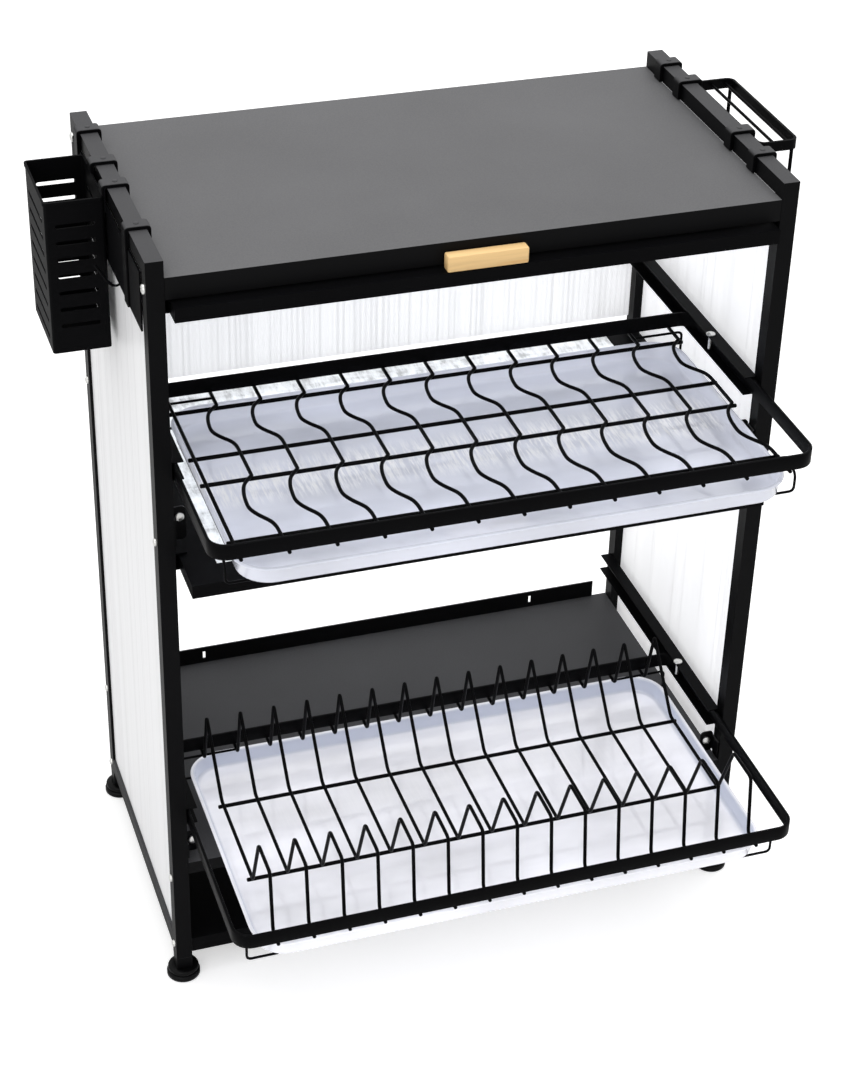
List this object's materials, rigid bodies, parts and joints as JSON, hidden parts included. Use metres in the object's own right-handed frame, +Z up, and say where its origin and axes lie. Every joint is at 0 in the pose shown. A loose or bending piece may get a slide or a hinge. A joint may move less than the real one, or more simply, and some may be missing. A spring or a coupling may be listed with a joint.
{
  "type": "dish drying rack with cabinet",
  "caption": "Dish drying cabinet on levelling feet with pull-out wire racks over drip trays, stored flap doors, a slotted utensil basket and a board holder.",
  "frame": {"origin": "under the middle of the whole assembly, on the floor", "axes": "+X to the right seen from the front, +Y to the back, +Z up"},
  "size_m": [0.7034, 0.5124, 0.8119],
  "materials": {
    "black_steel": "satin powder coat",
    "panel_steel": "fine powder coat",
    "white_sheet": "ribbed translucent twin-wall sheet",
    "tray_plastic": "frosted",
    "clear_sheet": "clear",
    "zinc": "zinc plated",
    "pine": "oiled",
    "foot_rubber": "matt"
  },
  "bodies": {
    "cabinet": {"left_side_frame": "black_steel", "right_side_frame": "black_steel", "front_left_foot": "foot_rubber", "front_right_foot": "foot_rubber", "rear_left_foot": "foot_rubber", "rear_right_foot": "foot_rubber", "top_panel": "panel_steel", "lower_shelf": "panel_steel", "bottom_pan": "black_steel", "left_wall": "white_sheet", "right_wall": "white_sheet", "back_wall": "white_sheet", "upper_left_rack_channel": "black_steel", "upper_right_rack_channel": "black_steel", "lower_left_rack_channel": "black_steel", "lower_right_rack_channel": "black_steel", "upper_left_door_guide": "black_steel", "upper_right_door_guide": "black_steel", "lower_left_door_guide": "black_steel", "lower_right_door_guide": "black_steel", "upper_left_door_catch": "black_steel", "upper_right_door_catch": "black_steel", "lower_left_door_catch": "black_steel", "lower_right_door_catch": "black_steel", "upper_left_stop_screw": "zinc", "upper_right_stop_screw": "zinc", "lower_left_stop_screw": "zinc", "lower_right_stop_screw": "zinc", "left_hanging_band": "black_steel", "right_hanging_band": "black_steel"},
    "upper_rack": {"upper_rack": "black_steel"},
    "lower_rack": {"lower_rack": "black_steel"},
    "upper_tray": {"upper_drip_tray": "tray_plastic"},
    "lower_tray": {"lower_drip_tray": "tray_plastic"},
    "upper_door": {"upper_door_frame": "black_steel", "upper_door_window": "clear_sheet", "upper_door_handle": "pine"},
    "lower_door": {"lower_door_frame": "black_steel", "lower_door_window": "clear_sheet", "lower_door_handle": "pine"},
    "utensil_basket": {"utensil_basket": "black_steel"},
    "board_holder": {"board_holder": "black_steel"}
  },
  "joints": [
    {"name": "upper_rack_slide", "type": "slide", "parent": "cabinet", "child": "upper_rack", "axis": [0, -1, 0], "range_m": [-0.148, 0.042]},
    {"name": "lower_rack_slide", "type": "slide", "parent": "cabinet", "child": "lower_rack", "axis": [0, -1, 0], "range_m": [-0.179, 0.011]},
    {"name": "upper_tray_slide", "type": "slide", "parent": "upper_rack", "child": "upper_tray", "axis": [0, -1, 0], "range_m": [0, 0.24]},
    {"name": "lower_tray_slide", "type": "slide", "parent": "lower_rack", "child": "lower_tray", "axis": [0, -1, 0], "range_m": [0, 0.25]},
    {"name": "upper_door_slide", "type": "slide", "parent": "cabinet", "child": "upper_door", "axis": [0, -1, 0], "range_m": [0, 0.185]},
    {"name": "lower_door_slide", "type": "slide", "parent": "cabinet", "child": "lower_door", "axis": [0, -1, 0], "range_m": [0, 0.275]},
    {"name": "basket_lift", "type": "slide", "parent": "cabinet", "child": "utensil_basket", "axis": [0, 0, 1], "range_m": [0, 0.1]},
    {"name": "board_holder_lift", "type": "slide", "parent": "cabinet", "child": "board_holder", "axis": [0, 0, 1], "range_m": [0, 0.1]}
  ]
}
